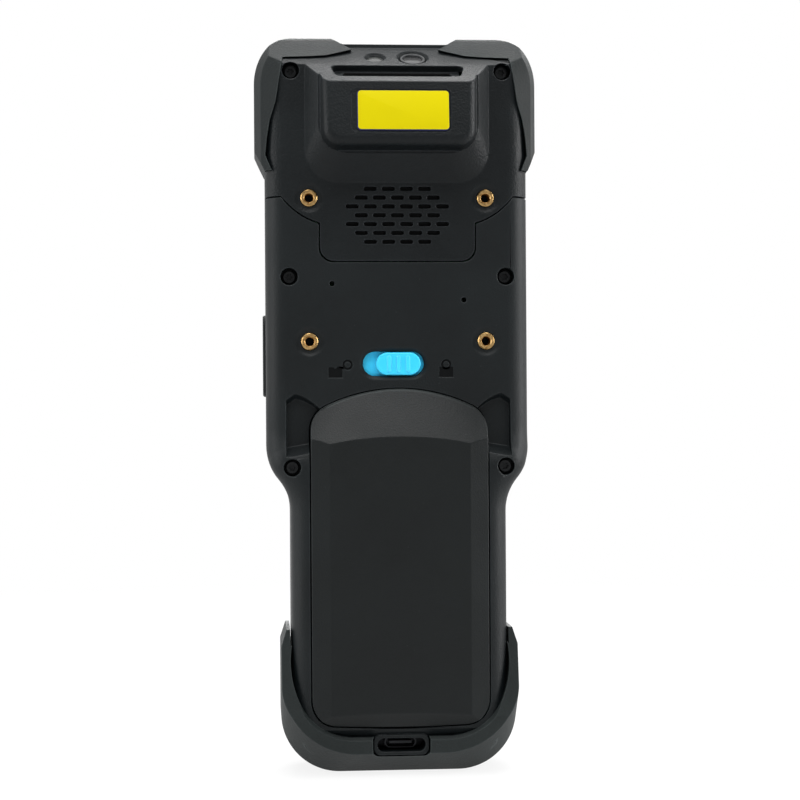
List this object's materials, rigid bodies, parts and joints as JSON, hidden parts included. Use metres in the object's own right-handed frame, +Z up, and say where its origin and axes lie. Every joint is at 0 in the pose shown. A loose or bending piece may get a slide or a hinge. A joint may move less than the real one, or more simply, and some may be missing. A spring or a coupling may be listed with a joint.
{
  "type": "portable barcode data terminal",
  "caption": "Rugged handheld barcode data terminal with a scanner hump, latched battery, keypad grip, corner bumpers and a rubber boot.",
  "frame": {"origin": "middle of the overall box at the level of the boot's flat bottom", "axes": "+Z up the length of the terminal, +Y out of its front, where the display and keys are, +X to the right when it is seen from behind"},
  "size_m": [0.0796, 0.037, 0.2073],
  "materials": {
    "housing_plastic": "fine spark texture",
    "cover_plastic": "fine spark texture",
    "battery_plastic": "fine spark texture",
    "battery_inner_plastic": "smooth",
    "bumper_rubber": "soft matt",
    "boot_rubber": "soft matt",
    "display_glass": "polished, black border",
    "display_panel": "dark panel",
    "grille_metal": "black mesh",
    "scan_window_glass": "polished, dark red tint",
    "lens_glass": "polished, coated",
    "flash_lens_plastic": "clear, moulded",
    "label_film": "printed film, left blank",
    "cell_foil": "foil pouch",
    "contact_gold": "gold plated",
    "latch_plastic": "smooth moulded",
    "spring_steel": "drawn wire",
    "brass_inserts": "turned",
    "screw_steel": "black oxide",
    "board_laminate": "solder mask",
    "keypad_rubber": "silicone",
    "engine_metal": "die cast",
    "module_plastic": "moulded",
    "speaker_plastic": "moulded",
    "trigger_plastic": "fine texture",
    "connector_steel": "stamped",
    "seal_rubber": "silicone",
    "key_plastic": "fine texture"
  },
  "bodies": {
    "terminal": {"rear_housing": "housing_plastic", "scanner_cover": "cover_plastic", "front_housing": "housing_plastic", "corner_bumper_left": "bumper_rubber", "corner_bumper_right": "bumper_rubber", "lower_boot": "boot_rubber", "touch_glass": "display_glass", "lcd_module": "display_panel", "earpiece_grille": "grille_metal", "scan_window": "scan_window_glass", "camera_lens": "lens_glass", "flash_lens": "flash_lens_plastic", "label_plate": "label_film", "latch_spring": "spring_steel", "threaded_inserts": "brass_inserts", "case_screws": "screw_steel", "main_board": "board_laminate", "keypad_board": "board_laminate", "keypad_pad": "keypad_rubber", "scan_engine": "engine_metal", "camera_module": "module_plastic", "speaker": "speaker_plastic", "side_switches": "module_plastic", "usb_connector": "connector_steel", "housing_seal": "seal_rubber", "battery_connector": "module_plastic"},
    "battery": {"battery_cover": "battery_plastic", "battery_base": "battery_inner_plastic", "battery_cells": "cell_foil", "battery_contacts": "contact_gold"},
    "latch": {"latch_slider": "latch_plastic"},
    "trigger_left": {"trigger_left": "trigger_plastic"},
    "trigger_right": {"trigger_right": "trigger_plastic"},
    "key_scan": {"key_scan": "key_plastic"},
    "key_up": {"key_up": "key_plastic"},
    "key_down": {"key_down": "key_plastic"},
    "key_left": {"key_left": "key_plastic"},
    "key_right": {"key_right": "key_plastic"},
    "key_dot": {"key_dot": "key_plastic"},
    "key_0": {"key_0": "key_plastic"},
    "key_minus": {"key_minus": "key_plastic"},
    "key_enter": {"key_enter": "key_plastic"},
    "key_7": {"key_7": "key_plastic"},
    "key_8": {"key_8": "key_plastic"},
    "key_9": {"key_9": "key_plastic"},
    "key_star": {"key_star": "key_plastic"},
    "key_4": {"key_4": "key_plastic"},
    "key_5": {"key_5": "key_plastic"},
    "key_6": {"key_6": "key_plastic"},
    "key_shift": {"key_shift": "key_plastic"},
    "key_1": {"key_1": "key_plastic"},
    "key_2": {"key_2": "key_plastic"},
    "key_3": {"key_3": "key_plastic"},
    "key_func": {"key_func": "key_plastic"},
    "key_power": {"key_power": "key_plastic"},
    "key_escape": {"key_escape": "key_plastic"},
    "key_tab": {"key_tab": "key_plastic"},
    "key_back": {"key_back": "key_plastic"}
  },
  "joints": [
    {"name": "battery_tilt", "type": "hinge", "parent": "terminal", "child": "battery", "pos_m": [0, -0.0094, 0.0139], "axis": [1, 0, 0], "range_deg": [0, 30]},
    {"name": "latch_slide", "type": "slide", "parent": "terminal", "child": "latch", "axis": [-1, 0, 0], "range_m": [0, 0.003]},
    {"name": "trigger_left_press", "type": "slide", "parent": "terminal", "child": "trigger_left", "axis": [1, 0, 0], "range_m": [0, 0.0006], "stiffness_N_per_m": 1500, "springref_m": -0.0002},
    {"name": "trigger_right_press", "type": "slide", "parent": "terminal", "child": "trigger_right", "axis": [-1, 0, 0], "range_m": [0, 0.0006], "stiffness_N_per_m": 1500, "springref_m": -0.0002},
    {"name": "key_scan_press", "type": "slide", "parent": "terminal", "child": "key_scan", "axis": [0, -1, 0], "range_m": [0, 0.0006], "stiffness_N_per_m": 1000, "springref_m": -0.0002},
    {"name": "key_up_press", "type": "slide", "parent": "terminal", "child": "key_up", "axis": [0, -1, 0], "range_m": [0, 0.0006], "stiffness_N_per_m": 1000, "springref_m": -0.0002},
    {"name": "key_down_press", "type": "slide", "parent": "terminal", "child": "key_down", "axis": [0, -1, 0], "range_m": [0, 0.0006], "stiffness_N_per_m": 1000, "springref_m": -0.0002},
    {"name": "key_left_press", "type": "slide", "parent": "terminal", "child": "key_left", "axis": [0, -1, 0], "range_m": [0, 0.0006], "stiffness_N_per_m": 1000, "springref_m": -0.0002},
    {"name": "key_right_press", "type": "slide", "parent": "terminal", "child": "key_right", "axis": [0, -1, 0], "range_m": [0, 0.0006], "stiffness_N_per_m": 1000, "springref_m": -0.0002},
    {"name": "key_dot_press", "type": "slide", "parent": "terminal", "child": "key_dot", "axis": [0, -1, 0], "range_m": [0, 0.0006], "stiffness_N_per_m": 1000, "springref_m": -0.0002},
    {"name": "key_0_press", "type": "slide", "parent": "terminal", "child": "key_0", "axis": [0, -1, 0], "range_m": [0, 0.0006], "stiffness_N_per_m": 1000, "springref_m": -0.0002},
    {"name": "key_minus_press", "type": "slide", "parent": "terminal", "child": "key_minus", "axis": [0, -1, 0], "range_m": [0, 0.0006], "stiffness_N_per_m": 1000, "springref_m": -0.0002},
    {"name": "key_enter_press", "type": "slide", "parent": "terminal", "child": "key_enter", "axis": [0, -1, 0], "range_m": [0, 0.0006], "stiffness_N_per_m": 1000, "springref_m": -0.0002},
    {"name": "key_7_press", "type": "slide", "parent": "terminal", "child": "key_7", "axis": [0, -1, 0], "range_m": [0, 0.0006], "stiffness_N_per_m": 1000, "springref_m": -0.0002},
    {"name": "key_8_press", "type": "slide", "parent": "terminal", "child": "key_8", "axis": [0, -1, 0], "range_m": [0, 0.0006], "stiffness_N_per_m": 1000, "springref_m": -0.0002},
    {"name": "key_9_press", "type": "slide", "parent": "terminal", "child": "key_9", "axis": [0, -1, 0], "range_m": [0, 0.0006], "stiffness_N_per_m": 1000, "springref_m": -0.0002},
    {"name": "key_star_press", "type": "slide", "parent": "terminal", "child": "key_star", "axis": [0, -1, 0], "range_m": [0, 0.0006], "stiffness_N_per_m": 1000, "springref_m": -0.0002},
    {"name": "key_4_press", "type": "slide", "parent": "terminal", "child": "key_4", "axis": [0, -1, 0], "range_m": [0, 0.0006], "stiffness_N_per_m": 1000, "springref_m": -0.0002},
    {"name": "key_5_press", "type": "slide", "parent": "terminal", "child": "key_5", "axis": [0, -1, 0], "range_m": [0, 0.0006], "stiffness_N_per_m": 1000, "springref_m": -0.0002},
    {"name": "key_6_press", "type": "slide", "parent": "terminal", "child": "key_6", "axis": [0, -1, 0], "range_m": [0, 0.0006], "stiffness_N_per_m": 1000, "springref_m": -0.0002},
    {"name": "key_shift_press", "type": "slide", "parent": "terminal", "child": "key_shift", "axis": [0, -1, 0], "range_m": [0, 0.0006], "stiffness_N_per_m": 1000, "springref_m": -0.0002},
    {"name": "key_1_press", "type": "slide", "parent": "terminal", "child": "key_1", "axis": [0, -1, 0], "range_m": [0, 0.0006], "stiffness_N_per_m": 1000, "springref_m": -0.0002},
    {"name": "key_2_press", "type": "slide", "parent": "terminal", "child": "key_2", "axis": [0, -1, 0], "range_m": [0, 0.0006], "stiffness_N_per_m": 1000, "springref_m": -0.0002},
    {"name": "key_3_press", "type": "slide", "parent": "terminal", "child": "key_3", "axis": [0, -1, 0], "range_m": [0, 0.0006], "stiffness_N_per_m": 1000, "springref_m": -0.0002},
    {"name": "key_func_press", "type": "slide", "parent": "terminal", "child": "key_func", "axis": [0, -1, 0], "range_m": [0, 0.0006], "stiffness_N_per_m": 1000, "springref_m": -0.0002},
    {"name": "key_power_press", "type": "slide", "parent": "terminal", "child": "key_power", "axis": [0, -1, 0], "range_m": [0, 0.0006], "stiffness_N_per_m": 1000, "springref_m": -0.0002},
    {"name": "key_escape_press", "type": "slide", "parent": "terminal", "child": "key_escape", "axis": [0, -1, 0], "range_m": [0, 0.0006], "stiffness_N_per_m": 1000, "springref_m": -0.0002},
    {"name": "key_tab_press", "type": "slide", "parent": "terminal", "child": "key_tab", "axis": [0, -1, 0], "range_m": [0, 0.0006], "stiffness_N_per_m": 1000, "springref_m": -0.0002},
    {"name": "key_back_press", "type": "slide", "parent": "terminal", "child": "key_back", "axis": [0, -1, 0], "range_m": [0, 0.0006], "stiffness_N_per_m": 1000, "springref_m": -0.0002}
  ]
}
